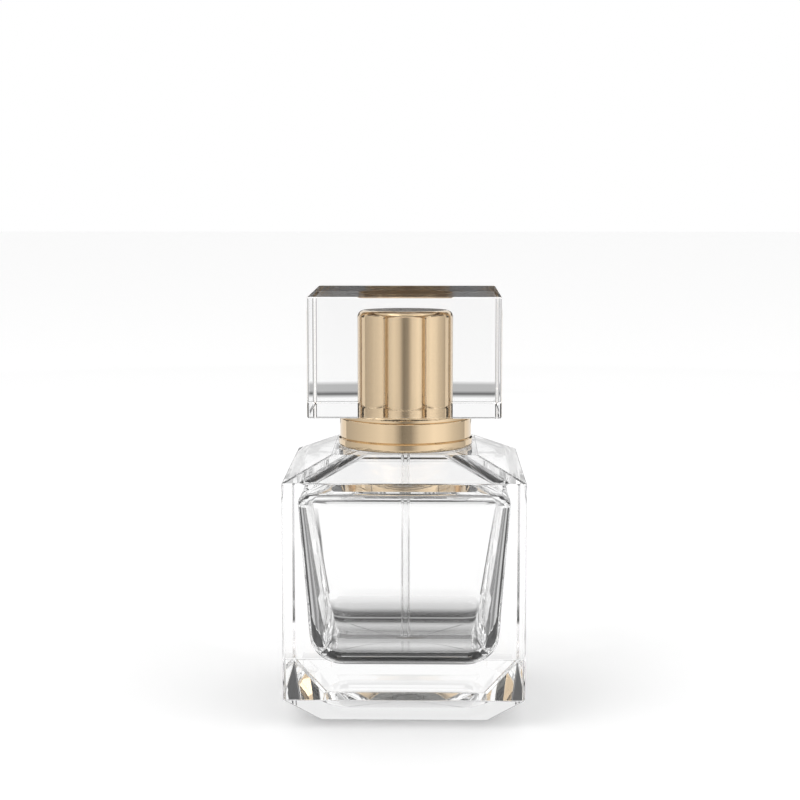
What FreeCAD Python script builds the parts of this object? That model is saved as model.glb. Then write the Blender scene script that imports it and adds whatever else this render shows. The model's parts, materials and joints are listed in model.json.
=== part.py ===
"""Square glass spray bottle with a crimped fine-mist pump, a gold collar and a clear press-on cap.

Millimetres. The origin is the centre of the base, +Z is up and the spray leaves along -Y.
"""

import FreeCAD
import Part
import Sketcher

import math
import os
import re

from FreeCAD import Placement, Rotation, Vector

# Driving dimensions, each set by itself.
SIZES = {
    # glass body
    "body_width": 42.0,
    "rim_height": 43.2,
    "foot_bevel_height": 5.2,
    "foot_bevel_inset": 6.0,
    "shoulder_rise": 3.8,
    "platform_margin": 0.7,
    "edge_round": 0.6,
    "rim_round": 0.35,
    # cavity in the glass
    "floor_thickness": 10.0,
    "wall_at_floor": 4.6,
    "wall_at_rim": 2.4,
    "shoulder_wall": 3.0,
    "cavity_corner": 2.8,
    "cavity_floor_corner": 6.0,
    "cavity_floor_round": 5.8,
    "cavity_shoulder_round": 2.5,
    "throat_margin": 2.0,
    # crimp neck
    "neck_bead_diameter": 18.0,
    "neck_bead_height": 3.2,
    "neck_bead_step": 0.9,
    "neck_waist_height": 1.3,
    "neck_bore_diameter": 11.0,
    "neck_round": 0.4,
    # seals and ferrule
    "gasket_thickness": 0.7,
    "ferrule_wall": 0.35,
    "crimp_reach": 0.65,
    # pump
    "pump_flange_diameter": 12.8,
    "pump_flange_height": 1.2,
    "pump_stroke": 3.0,
    "chamber_diameter": 4.8,
    "chamber_drop": 2.0,
    "barrel_wall": 0.9,
    "barrel_cap_wall": 0.65,
    "barrel_cap_skirt": 3.0,
    "barrel_cap_top": 0.8,
    "stem_diameter": 3.0,
    "stem_bore": 1.2,
    "stem_nose_diameter": 2.3,
    "stem_nose_length": 2.3,
    "stem_flange_height": 0.7,
    "stem_gasket_height": 0.5,
    "piston_waist": 0.35,
    "piston_lip": 0.5,
    "pin_flange_height": 0.6,
    "pin_tail_length": 1.6,
    "pin_tip_length": 1.5,
    "ball_diameter": 2.0,
    "ball_travel": 0.6,
    "cage_lip": 0.3,
    "cage_lip_step": 0.4,
    "cage_wall": 0.8,
    "inlet_diameter": 1.1,
    "inlet_length": 0.5,
    # return spring
    "spring_wire": 0.4,
    "spring_diameter": 3.5,
    "spring_turns": 6.0,
    "spring_spare": 0.7,
    # dip tube
    "tube_diameter": 1.6,
    "tube_bore": 1.1,
    "tube_socket_depth": 2.0,
    "tube_socket_wall": 0.75,
    "tube_floor_gap": 1.0,
    # collar
    "insert_wall": 2.1,
    "insert_flange": 0.3,
    "insert_grip": 0.25,
    "collar_wall": 0.55,
    "collar_plate": 0.5,
    "collar_neck_wall": 0.4,
    "collar_neck_height": 4.2,
    "collar_foot_lip": 1.6,
    "collar_top_lip": 1.15,
    "collar_groove": 0.35,
    "collar_band_step": 0.2,
    "collar_foot_round": 0.5,
    "collar_top_round": 0.7,
    # cap
    "cap_width": 33.5,
    "cap_lift_gap": 0.55,
    "cap_crown": 3.0,
    "cap_corner": 0.5,
    "cap_edge_round": 0.3,
    "sleeve_wall": 0.4,
    "sleeve_round": 1.2,
    "liner_wall": 0.55,
    "liner_roof": 0.8,
    "cap_headroom": 0.45,
    # spray button
    "button_shell_wall": 0.35,
    "button_round": 0.8,
    "button_core_wall": 0.9,
    "button_roof": 1.4,
    "button_boss_wall": 1.3,
    "button_crown": 0.2,
    "cross_boss_wall": 0.6,
    "cross_boss_rise": 0.15,
    "nozzle_diameter": 3.4,
    "nozzle_depth": 2.0,
    "nozzle_orifice": 0.4,
    "nozzle_dimple": 1.4,
    "nozzle_swirl_depth": 0.6,
    "channel_diameter": 1.2,
    # fits and clearances
    "slip": 0.03,
    "run_fit": 0.03,
    "seat_gap": 0.05,
    "cap_fit": 0.06,
    "stem_fit": 0.06,
    "ball_fit": 0.25,
    "neck_gap": 0.25,
    "button_gap": 0.4,
    "stop_gap": 0.3,
}

# Places and radii that follow from the driving dimensions.
LEVELS = {
    # glass body and cavity
    "body_half": "body_width / 2",
    "foot_half": "body_half - foot_bevel_inset",
    "platform_z": "rim_height + shoulder_rise",
    "cavity_floor_half": "body_half - wall_at_floor",
    "cavity_rim_half": "body_half - wall_at_rim",
    "cavity_rim_z": "rim_height - shoulder_wall",
    "throat_half": "bore_radius + throat_margin",
    # crimp neck
    "bead_radius": "neck_bead_diameter / 2",
    "waist_radius": "bead_radius - neck_bead_step",
    "bore_radius": "neck_bore_diameter / 2",
    "waist_top_z": "platform_z + neck_waist_height",
    "bead_corner_z": "waist_top_z + neck_bead_step",
    "neck_top_z": "waist_top_z + neck_bead_height",
    "gasket_top_z": "neck_top_z + gasket_thickness",
    # ferrule, collar and cap, from the neck outwards
    "ferrule_inside": "bead_radius + slip",
    "ferrule_radius": "ferrule_inside + ferrule_wall",
    "ferrule_top_z": "gasket_top_z + ferrule_wall",
    "flange_radius": "pump_flange_diameter / 2",
    "flange_top_z": "gasket_top_z + pump_flange_height",
    "turret_inside": "flange_radius + slip",
    "turret_radius": "turret_inside + ferrule_wall",
    "turret_top_z": "flange_top_z + ferrule_wall",
    "crimp_foot_radius": "ferrule_inside - crimp_reach",
    "crimp_foot_z": "bead_corner_z - crimp_reach - slip",
    "insert_inside": "ferrule_radius + slip",
    "insert_radius": "insert_inside + insert_wall",
    "insert_top_z": "ferrule_top_z + insert_flange",
    "collar_inside": "insert_radius + slip",
    "collar_radius": "collar_inside + collar_wall",
    "collar_band_radius": "collar_radius - collar_band_step",
    "collar_foot_z": "platform_z + seat_gap",
    "collar_top_z": "insert_top_z + collar_plate",
    "collar_lip_low_z": "collar_foot_z + collar_foot_lip",
    "collar_lip_high_z": "collar_top_z - collar_top_lip",
    "collar_neck_inside": "turret_radius + neck_gap",
    "collar_neck_radius": "collar_neck_inside + collar_neck_wall",
    "collar_neck_top_z": "collar_top_z + collar_neck_height",
    "platform_half": "collar_radius + platform_margin",
    "shoulder_slope": "shoulder_rise / (body_half - platform_half)",
    "cavity_neck_z": "cavity_rim_z + (cavity_rim_half - throat_half) * shoulder_slope",
    "liner_inside": "collar_neck_radius + cap_fit",
    "liner_radius": "liner_inside + liner_wall",
    "sleeve_inside": "liner_radius + slip",
    "sleeve_radius": "sleeve_inside + sleeve_wall",
    "block_bore_radius": "sleeve_radius + slip",
    "cap_half": "cap_width / 2",
    "cap_foot_z": "collar_top_z + cap_lift_gap",
    "liner_roof_z": "button_top_z + cap_headroom",
    "liner_top_z": "liner_roof_z + liner_roof",
    "sleeve_top_z": "liner_top_z + sleeve_wall",
    "cap_top_z": "sleeve_top_z + cap_crown",
    "liner_foot_z": "collar_top_z + seat_gap",
    # pump, from the spring's seat up
    "chamber_radius": "chamber_diameter / 2",
    "barrel_radius": "chamber_radius + barrel_wall",
    "spring_seat_z": "gasket_top_z - chamber_drop",
    "spring_length": "pump_stroke + (spring_turns + 1) * spring_wire + spring_spare",
    "spring_top_z": "spring_seat_z + spring_length",
    "pin_top_z": "spring_top_z + pin_flange_height",
    "stem_flange_z": "pin_top_z + stem_nose_length",
    "barrel_top_z": "stem_flange_z + stem_flange_height",
    "barrel_cap_roof_z": "barrel_top_z + stem_gasket_height",
    "barrel_cap_top_z": "barrel_cap_roof_z + barrel_cap_top",
    "barrel_cap_inside": "barrel_radius + slip",
    "barrel_cap_radius": "barrel_cap_inside + barrel_cap_wall",
    "stem_radius": "stem_diameter / 2",
    "nose_radius": "stem_nose_diameter / 2",
    "piston_radius": "chamber_radius - run_fit",
    "piston_foot_z": "pin_top_z + slip",
    # pump, from the spring's seat down
    "cage_lip_z": "spring_seat_z - cage_lip",
    "ball_radius": "ball_diameter / 2",
    "ball_z": "cage_lip_z - seat_gap - ball_travel - ball_radius",
    "cage_radius": "ball_radius + ball_fit",
    "inlet_radius": "inlet_diameter / 2",
    "cone_apex_z": "ball_z - ball_radius * sqrt(2) - seat_gap",
    "tube_stop_z": "cone_apex_z + inlet_radius - inlet_length",
    "socket_foot_z": "tube_stop_z - tube_socket_depth",
    "tube_radius": "tube_diameter / 2",
    "socket_radius": "tube_radius + tube_socket_wall",
    "cage_outside": "cage_radius + cage_wall",
    # spray button
    "button_radius": "collar_neck_inside - button_gap",
    "button_foot_z": "turret_top_z + pump_stroke + stop_gap",
    "button_core_top_z": "nozzle_z + cross_boss_radius + button_crown",
    "button_top_z": "button_core_top_z + button_shell_wall",
    "button_shell_inside": "button_radius - button_shell_wall",
    "button_core_radius": "button_shell_inside - slip",
    "button_core_inside": "button_core_radius - button_core_wall",
    "boss_foot_z": "barrel_cap_top_z + pump_stroke + stop_gap",
    "socket_radius_stem": "stem_radius + run_fit",
    "boss_radius": "stem_radius + button_boss_wall",
    "cross_boss_radius": "nozzle_radius + cross_boss_wall",
    "nozzle_z": "boss_foot_z + cross_boss_rise + cross_boss_radius",
    "nozzle_radius": "nozzle_diameter / 2",
    "channel_radius": "channel_diameter / 2",
    "stem_top_z": "nozzle_z - channel_radius",
    "nozzle_back": "button_core_radius - nozzle_depth",
}

doc = FreeCAD.newDocument("spray_bottle")


def fill_sheet(name, cells):
    """A two-column sheet of labelled values, each with its alias."""
    sheet = doc.addObject("Spreadsheet::Sheet", name)
    for row, (alias, content) in enumerate(cells.items(), 1):
        sheet.set(f"A{row}", alias.replace("_", " "))
        sheet.set(f"B{row}", content)
        sheet.setAlias(f"B{row}", alias)
    return sheet


def bound(text, own_sheet=""):
    """An expression whose plain words are aliases of the two sheets."""
    def full_name(match):
        word = match[0]
        home = "Sizes" if word in SIZES else "Levels" if word in LEVELS else own_sheet
        return word if home == own_sheet else f"{home}.{word}"
    return re.sub("[a-z_]+", full_name, text)


sizes = fill_sheet("Sizes", {alias: str(number) for alias, number in SIZES.items()})
levels = fill_sheet("Levels", {alias: "=" + bound(text, "Levels") for alias, text in LEVELS.items()})
doc.recompute()


def value(text):
    """The present value of an expression, in millimetres."""
    return float(levels.evalExpression(bound(text)))


def new_body(label):
    body = doc.addObject("PartDesign::Body", label)
    body.Label = label
    return body


def new_sketch(body, name, role, lift=None):
    """A sketch on one of the body's own origin planes, lifted along the plane's normal."""
    sketch = body.newObject("Sketcher::SketchObject", f"{body.Label}_{name}")
    plane = next(item for item in body.Origin.OriginFeatures if item.Role == role)
    sketch.AttachmentSupport = [(plane, "")]
    sketch.MapMode = "FlatFace"
    if lift:
        sketch.setExpression("AttachmentOffset.Base.z", bound(lift))
    return sketch


def pin_point(sketch, line, end, x, y):
    """Tie one end of a line to the two expressions of its place."""
    for kind, text, axis in (("DistanceX", x, -2), ("DistanceY", y, -1)):
        if text == "0":
            sketch.addConstraint(Sketcher.Constraint("PointOnObject", line, end, axis))
            continue
        number = sketch.addConstraint(Sketcher.Constraint(kind, -1, 1, line, end, value(text)))
        sketch.setExpression(f"Constraints[{number}]", bound(text))


def draw_outline(sketch, points):
    """A closed outline of straight lines, each corner tied to its two expressions."""
    corners = [Vector(value(x), value(y), 0) for x, y in points]
    count = len(corners)
    for index, corner in enumerate(corners):
        sketch.addGeometry(Part.LineSegment(corner, corners[(index + 1) % count]), False)
    for index in range(count):
        sketch.addConstraint(Sketcher.Constraint("Coincident", index, 2, (index + 1) % count, 1))
    for index, (x, y) in enumerate(points):
        pin_point(sketch, index, 1, x, y)


def draw_circle(sketch, x, y, radius):
    """A circle with its centre and radius tied to expressions."""
    sketch.addGeometry(Part.Circle(Vector(value(x), value(y), 0), Vector(0, 0, 1), value(radius)), False)
    pin_point(sketch, 0, 3, x, y)
    number = sketch.addConstraint(Sketcher.Constraint("Radius", 0, value(radius)))
    sketch.setExpression(f"Constraints[{number}]", bound(radius))


def draw_rounded_square(sketch, half, corner):
    """A square about the origin with equal rounded corners."""
    outer = value(half)
    inner = outer - value(corner)
    for turn in range(4):
        spin = Rotation(Vector(0, 0, 1), 90 * turn)
        start = spin.multVec(Vector(outer, -inner, 0))
        end = spin.multVec(Vector(outer, inner, 0))
        sketch.addGeometry(Part.LineSegment(start, end), False)
        circle = Part.Circle(spin.multVec(Vector(inner, inner, 0)), Vector(0, 0, 1), value(corner))
        angle = math.pi / 2 * turn
        sketch.addGeometry(Part.ArcOfCircle(circle, angle, angle + math.pi / 2), False)
    for index in range(8):
        sketch.addConstraint(Sketcher.Constraint("Tangent", index, 2, (index + 1) % 8, 1))
    for turn, kind in enumerate(("Vertical", "Horizontal", "Vertical", "Horizontal")):
        sketch.addConstraint(Sketcher.Constraint(kind, 2 * turn))
    for arc in (3, 5, 7):
        sketch.addConstraint(Sketcher.Constraint("Equal", 1, arc))
    number = sketch.addConstraint(Sketcher.Constraint("Radius", 1, value(corner)))
    sketch.setExpression(f"Constraints[{number}]", bound(corner))
    for turn, (kind, sign) in enumerate((("DistanceX", ""), ("DistanceY", ""), ("DistanceX", "-"),
                                         ("DistanceY", "-"))):
        place = f"{sign}({half})"
        number = sketch.addConstraint(Sketcher.Constraint(kind, -1, 1, 2 * turn, 1, value(place)))
        sketch.setExpression(f"Constraints[{number}]", bound(place))


def turn_profile(body, name, points, kind="PartDesign::Revolution"):
    """A full turn of a closed profile of (radius, height) corners about the body's Z axis."""
    sketch = new_sketch(body, f"{name}_profile", "XZ_Plane")
    draw_outline(sketch, points)
    feature = body.newObject(kind, f"{body.Label}_{name}")
    feature.Profile = sketch
    feature.ReferenceAxis = (sketch, ["V_Axis"])
    feature.Angle = 360
    doc.recompute()
    return feature


def loft_squares(body, name, sections, kind):
    """A ruled loft through rounded squares, each (half width, corner radius, height)."""
    sketches = []
    for index, (half, corner, height) in enumerate(sections):
        sketch = new_sketch(body, f"{name}_{index}", "XY_Plane", height)
        draw_rounded_square(sketch, half, corner)
        sketches.append(sketch)
    feature = body.newObject(kind, f"{body.Label}_{name}")
    feature.Profile = sketches[0]
    feature.Sections = sketches[1:]
    feature.Ruled = True
    doc.recompute()
    return feature


def round_edges(body, name, test, radius):
    """A fillet along every edge of the body's present shape that passes the test."""
    base = body.Tip
    names = [f"Edge{number}" for number, edge in enumerate(base.Shape.Edges, 1) if test(edge)]
    feature = body.newObject("PartDesign::Fillet", f"{body.Label}_{name}")
    feature.Base = (base, names)
    feature.Radius = value(radius)
    feature.setExpression("Radius", bound(radius))
    doc.recompute()
    return feature


def level_edge(height, reach, least=None):
    """A test for edges that lie flat at a height and stay within reach of the axis."""
    def test(edge):
        box = edge.BoundBox
        far = max(abs(box.XMin), abs(box.XMax), abs(box.YMin), abs(box.YMax))
        flat = abs(box.ZMin - value(height)) < 1e-4 and abs(box.ZMax - value(height)) < 1e-4
        near = value(reach) + 1e-3
        return flat and far < near and far > (value(least) if least else near - 2e-3)
    return test


def bore_across(body, name, height, radius, start, kind="PartDesign::Pocket", length=None):
    """A round hole or boss along -Y at a height, from a distance in front of the axis outwards."""
    sketch = new_sketch(body, f"{name}_circle", "XZ_Plane", start)
    draw_circle(sketch, "0", height, radius)
    feature = body.newObject(kind, f"{body.Label}_{name}")
    feature.Profile = sketch
    feature.Type = "Length"
    feature.setExpression("Length", bound(length))
    feature.Reversed = kind == "PartDesign::Pocket"
    before = body.Shape.Volume
    doc.recompute()
    if abs(feature.Shape.Volume - before) < 1e-6:
        raise RuntimeError(f"{body.Label}: {name} changed nothing")
    return feature


def glass_bottle():
    """Square body with a bevelled foot and sloped shoulder, a drafted cavity and a crimp neck."""
    body = new_body("glass_bottle")
    loft_squares(body, "outside", (
        ("foot_half", "edge_round", "0"),
        ("body_half", "edge_round", "foot_bevel_height"),
        ("body_half", "edge_round", "rim_height"),
        ("platform_half", "edge_round", "platform_z"),
    ), "PartDesign::AdditiveLoft")
    loft_squares(body, "cavity", (
        ("cavity_floor_half", "cavity_floor_corner", "floor_thickness"),
        ("cavity_rim_half", "cavity_corner", "cavity_rim_z"),
        ("throat_half", "cavity_corner", "cavity_neck_z"),
    ), "PartDesign::SubtractiveLoft")
    loops = (
        ("floor", "floor_thickness", "cavity_floor_half", "cavity_floor_corner", "cavity_floor_round"),
        ("ceiling", "cavity_rim_z", "cavity_rim_half", "cavity_corner", "cavity_shoulder_round"),
        ("foot", "0", "foot_half", "edge_round", "rim_round"),
        ("bevel", "foot_bevel_height", "body_half", "edge_round", "rim_round"),
        ("rim", "rim_height", "body_half", "edge_round", "rim_round"),
        ("platform", "platform_z", "platform_half", "edge_round", "rim_round"),
    )
    for name, height, half, corner, radius in loops:
        round_edges(body, f"{name}_round", level_edge(height, half, f"{half} - {corner} - {radius}"), radius)
    turn_profile(body, "neck", (
        ("0", "platform_z - shoulder_wall / 2"),
        ("waist_radius", "platform_z - shoulder_wall / 2"),
        ("waist_radius", "waist_top_z"),
        ("bead_radius", "bead_corner_z"),
        ("bead_radius", "neck_top_z"),
        ("0", "neck_top_z"),
    ))
    turn_profile(body, "bore", (
        ("0", "cavity_neck_z - shoulder_wall / 2"),
        ("bore_radius", "cavity_neck_z - shoulder_wall / 2"),
        ("bore_radius", "neck_top_z + neck_round"),
        ("0", "neck_top_z + neck_round"),
    ), "PartDesign::Groove")
    round_edges(body, "mouth_round", level_edge("neck_top_z", "bead_radius", "bore_radius - 1"), "neck_round")
    return body


def neck_gasket():
    """Flat ring squeezed between the neck's top and the pump's flange."""
    body = new_body("neck_gasket")
    turn_profile(body, "ring", (
        ("barrel_radius + neck_gap", "neck_top_z"),
        ("bead_radius - neck_round", "neck_top_z"),
        ("bead_radius - neck_round", "gasket_top_z"),
        ("barrel_radius + neck_gap", "gasket_top_z"),
    ))
    return body


def crimp_ferrule():
    """Thin drawn cup over the neck with a raised turret, its foot crimped under the bead."""
    body = new_body("crimp_ferrule")
    turn_profile(body, "wall", (
        ("barrel_cap_radius + neck_gap", "flange_top_z"),
        ("turret_inside", "flange_top_z"),
        ("turret_inside", "gasket_top_z"),
        ("ferrule_inside", "gasket_top_z"),
        ("ferrule_inside", "bead_corner_z - slip"),
        ("crimp_foot_radius", "crimp_foot_z"),
        ("crimp_foot_radius", "crimp_foot_z - sqrt(2) * ferrule_wall"),
        ("ferrule_radius", "bead_corner_z - slip - (sqrt(2) - 1) * ferrule_wall"),
        ("ferrule_radius", "ferrule_top_z"),
        ("turret_radius", "ferrule_top_z"),
        ("turret_radius", "turret_top_z"),
        ("barrel_cap_radius + neck_gap", "turret_top_z"),
    ))
    round_edges(body, "shoulder_round", level_edge("ferrule_top_z", "ferrule_radius"), "ferrule_wall")
    round_edges(body, "turret_round", level_edge("turret_top_z", "turret_radius"), "ferrule_wall * 0.8")
    return body


def collar_insert():
    """Moulded ring that fills the collar, hooked over the ferrule's shoulder and eased at its foot."""
    body = new_body("collar_insert")
    turn_profile(body, "ring", (
        ("insert_inside + insert_grip", "collar_foot_z + seat_gap"),
        ("insert_radius", "collar_foot_z + seat_gap"),
        ("insert_radius", "insert_top_z"),
        ("turret_radius + neck_gap", "insert_top_z"),
        ("turret_radius + neck_gap", "ferrule_top_z"),
        ("insert_inside", "ferrule_top_z"),
        ("insert_inside", "bead_corner_z"),
        ("insert_inside + insert_grip", "bead_corner_z - insert_grip"),
    ))
    return body


def collar_shell():
    """Drawn collar with a foot lip, a band and a top lip parted by two grooves, and a neck for the cap."""
    body = new_body("collar_shell")
    turn_profile(body, "wall", (
        ("collar_inside", "collar_foot_z"),
        ("collar_radius", "collar_foot_z"),
        ("collar_radius", "collar_lip_low_z - collar_groove / 2"),
        ("collar_radius - collar_groove", "collar_lip_low_z"),
        ("collar_band_radius", "collar_lip_low_z + collar_groove / 2"),
        ("collar_band_radius", "collar_lip_high_z - collar_groove / 2"),
        ("collar_radius - collar_groove", "collar_lip_high_z"),
        ("collar_band_radius", "collar_lip_high_z + collar_groove / 2"),
        ("collar_band_radius", "collar_top_z"),
        ("collar_neck_radius", "collar_top_z"),
        ("collar_neck_radius", "collar_neck_top_z"),
        ("collar_neck_inside", "collar_neck_top_z"),
        ("collar_neck_inside", "insert_top_z"),
        ("collar_inside", "insert_top_z"),
    ))
    round_edges(body, "foot_round", level_edge("collar_foot_z", "collar_radius"), "collar_foot_round")
    round_edges(body, "top_round", level_edge("collar_top_z", "collar_band_radius"), "collar_top_round")
    round_edges(body, "neck_round", level_edge("collar_neck_top_z", "collar_neck_radius"),
                "collar_neck_wall / 2")
    return body


def pump_housing():
    """Moulded barrel with a crimp flange, a ball cage with its cone seat and a socket for the dip tube."""
    body = new_body("pump_housing")
    turn_profile(body, "wall", (
        ("chamber_radius", "barrel_top_z"),
        ("barrel_radius", "barrel_top_z"),
        ("barrel_radius", "flange_top_z"),
        ("flange_radius", "flange_top_z"),
        ("flange_radius", "gasket_top_z"),
        ("barrel_radius", "gasket_top_z"),
        ("barrel_radius", "cage_lip_z"),
        ("cage_outside", "cage_lip_z - barrel_radius + cage_outside"),
        ("cage_outside", "cone_apex_z + inlet_radius"),
        ("socket_radius", "tube_stop_z"),
        ("socket_radius", "socket_foot_z"),
        ("tube_radius + slip", "socket_foot_z"),
        ("tube_radius + slip", "tube_stop_z"),
        ("inlet_radius", "tube_stop_z"),
        ("inlet_radius", "cone_apex_z + inlet_radius"),
        ("cage_radius", "cone_apex_z + cage_radius"),
        ("cage_radius", "cage_lip_z"),
        ("cage_radius - cage_lip_step", "cage_lip_z"),
        ("cage_radius - cage_lip_step", "spring_seat_z"),
        ("chamber_radius", "spring_seat_z"),
    ))
    return body


def barrel_cap():
    """Moulded cap pressed over the barrel, with a hole that guides the stem."""
    body = new_body("barrel_cap")
    turn_profile(body, "wall", (
        ("stem_radius + stem_fit", "barrel_cap_roof_z"),
        ("barrel_cap_inside", "barrel_cap_roof_z"),
        ("barrel_cap_inside", "barrel_cap_roof_z - barrel_cap_skirt"),
        ("barrel_cap_radius", "barrel_cap_roof_z - barrel_cap_skirt"),
        ("barrel_cap_radius", "barrel_cap_top_z"),
        ("stem_radius + stem_fit", "barrel_cap_top_z"),
    ))
    round_edges(body, "top_round", level_edge("barrel_cap_top_z", "barrel_cap_radius"),
                "barrel_cap_top / 2")
    return body


def stem_gasket():
    """Ring on the barrel's top that wipes the stem and stops its flange."""
    body = new_body("stem_gasket")
    turn_profile(body, "ring", (
        ("stem_radius + run_fit", "barrel_top_z"),
        ("barrel_radius", "barrel_top_z"),
        ("barrel_radius", "barrel_cap_roof_z"),
        ("stem_radius + run_fit", "barrel_cap_roof_z"),
    ))
    return body


def stem():
    """Hollow stem with a stop flange and a nose that carries the piston."""
    body = new_body("stem")
    turn_profile(body, "wall", (
        ("stem_bore / 2", "pin_top_z"),
        ("nose_radius", "pin_top_z"),
        ("nose_radius", "stem_flange_z"),
        ("chamber_radius - stem_fit", "stem_flange_z"),
        ("chamber_radius - stem_fit", "barrel_top_z - seat_gap"),
        ("stem_radius", "barrel_top_z - seat_gap"),
        ("stem_radius", "stem_top_z"),
        ("stem_bore / 2", "stem_top_z"),
    ))
    return body


def piston():
    """Sealing ring with a lip at each end and a drawn-in waist."""
    body = new_body("piston")
    turn_profile(body, "ring", (
        ("nose_radius + slip", "piston_foot_z"),
        ("piston_radius", "piston_foot_z"),
        ("piston_radius", "piston_foot_z + piston_lip"),
        ("piston_radius - piston_waist", "piston_foot_z + piston_lip + piston_waist"),
        ("piston_radius - piston_waist", "stem_flange_z - piston_lip - piston_waist"),
        ("piston_radius", "stem_flange_z - piston_lip"),
        ("piston_radius", "stem_flange_z"),
        ("nose_radius + slip", "stem_flange_z"),
    ))
    return body


def valve_pin():
    """Pin whose tip plugs the stem and whose flange rides on the spring, with a tail that guides it."""
    body = new_body("valve_pin")
    turn_profile(body, "pin", (
        ("0", "spring_top_z - pin_tail_length"),
        ("spring_diameter / 2 - spring_wire - stem_fit", "spring_top_z - pin_tail_length"),
        ("spring_diameter / 2 - spring_wire - stem_fit", "spring_top_z"),
        ("spring_diameter / 2 + spring_wire / 2", "spring_top_z"),
        ("spring_diameter / 2 + spring_wire / 2", "pin_top_z"),
        ("stem_bore / 2 - slip", "pin_top_z"),
        ("stem_bore / 2 - slip", "pin_top_z + pin_tip_length / 2"),
        ("0", "pin_top_z + pin_tip_length"),
    ))
    return body


def biarc(start, heading, end, finish):
    """Two arcs that join two points with the given unit tangents, meeting smoothly."""
    chord = end - start
    both = heading + finish
    across = chord.dot(both)
    bend = 2 * (1 - heading.dot(finish))
    reach = (math.sqrt(across * across + bend * chord.dot(chord)) - across) / bend
    join = (start + end + (heading - finish) * reach) * 0.5
    arcs = []
    for near, tangent, far in ((start, heading, join), (join, None, end)):
        if tangent is None:
            tangent = (end - finish * reach - start - heading * reach).normalize()
        step = far - near
        normal = tangent.cross(step).cross(tangent).normalize()
        radius = step.dot(step) / (2 * step.dot(normal))
        centre = near + normal * radius
        middle = centre + ((near - centre) + (far - centre)).normalize() * radius
        arcs.append(Part.Arc(near, middle, far).toShape())
    return arcs


def return_spring():
    """Compression spring wound from one round wire between the barrel's seat and the pin's flange."""
    feature = doc.addObject("Part::Feature", "return_spring")
    feature.Label = "return_spring"
    radius = value("spring_diameter / 2")
    wire = value("spring_wire")
    low = value("spring_seat_z + spring_wire / 2 + slip")
    high = value("spring_top_z - spring_wire / 2 - slip")
    turns = value("spring_turns")
    quarters = round(4 * turns)
    climb = (high - low) / quarters

    def place(step):
        angle = math.pi / 2 * step
        return Vector(radius * math.cos(angle), radius * math.sin(angle), low + climb * step)

    def heading(step):
        angle = math.pi / 2 * step
        flat = radius * math.pi / 2
        return Vector(-flat * math.sin(angle), flat * math.cos(angle), climb).normalize()

    edges = []
    for step in range(quarters):
        edges += biarc(place(step), heading(step), place(step + 1), heading(step + 1))
    section = Part.Wire(Part.Circle(place(0), heading(0), wire / 2).toShape())
    feature.Shape = Part.Wire(edges).makePipeShell([section], True, False)
    print(f"return_spring: least gap between turns {4 * climb - wire:.2f} mm")
    return feature


def inlet_ball():
    """Check ball that rests on the cone seat at the inlet."""
    ball = doc.addObject("Part::Sphere", "inlet_ball")
    ball.Label = "inlet_ball"
    ball.setExpression("Radius", bound("ball_radius"))
    ball.setExpression("Placement.Base.z", bound("ball_z"))
    return ball


def dip_tube():
    """Thin clear tube from the housing's socket to just above the floor."""
    body = new_body("dip_tube")
    turn_profile(body, "wall", (
        ("tube_bore / 2", "floor_thickness + tube_floor_gap"),
        ("tube_radius", "floor_thickness + tube_floor_gap"),
        ("tube_radius", "tube_stop_z"),
        ("tube_bore / 2", "tube_stop_z"),
    ))
    return body


def button_core():
    """Cored-out button with a boss for the stem and a cross boss that feeds the nozzle."""
    body = new_body("button_core")
    turn_profile(body, "wall", (
        ("button_core_inside", "button_foot_z + seat_gap"),
        ("button_core_radius", "button_foot_z + seat_gap"),
        ("button_core_radius", "button_core_top_z"),
        ("0", "button_core_top_z"),
        ("0", "boss_foot_z"),
        ("boss_radius", "boss_foot_z"),
        ("boss_radius", "button_core_top_z - button_roof"),
        ("button_core_inside", "button_core_top_z - button_roof"),
    ))
    round_edges(body, "top_round", level_edge("button_core_top_z", "button_core_radius"),
                "button_round + 2 * slip")
    bore_across(body, "cross_boss", "nozzle_z", "cross_boss_radius", "0",
                "PartDesign::Pad", "button_core_inside + button_core_wall / 2")
    turn_profile(body, "socket", (
        ("0", "boss_foot_z - nozzle_depth"),
        ("socket_radius_stem", "boss_foot_z - nozzle_depth"),
        ("socket_radius_stem", "stem_top_z"),
        ("channel_radius", "stem_top_z"),
        ("channel_radius", "nozzle_z + channel_radius"),
        ("0", "nozzle_z + channel_radius"),
    ), "PartDesign::Groove")
    bore_across(body, "channel", "nozzle_z", "channel_radius", "0", length="nozzle_back + slip")
    bore_across(body, "nozzle_pocket", "nozzle_z", "nozzle_radius + slip", "nozzle_back",
                length="nozzle_depth + button_core_wall")
    return body


def button_shell():
    """Drawn skin over the button with a hole for the spray."""
    body = new_body("button_shell")
    turn_profile(body, "wall", (
        ("button_shell_inside", "button_foot_z"),
        ("button_radius", "button_foot_z"),
        ("button_radius", "button_top_z"),
        ("0", "button_top_z"),
        ("0", "button_core_top_z"),
        ("button_shell_inside", "button_core_top_z"),
    ))
    round_edges(body, "top_round", level_edge("button_top_z", "button_radius"),
                "button_round + button_shell_wall")
    round_edges(body, "inner_round", level_edge("button_core_top_z", "button_shell_inside"), "button_round")
    bore_across(body, "spray_hole", "nozzle_z", "nozzle_radius + seat_gap", "button_core_inside",
                length="button_radius")
    return body


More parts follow.
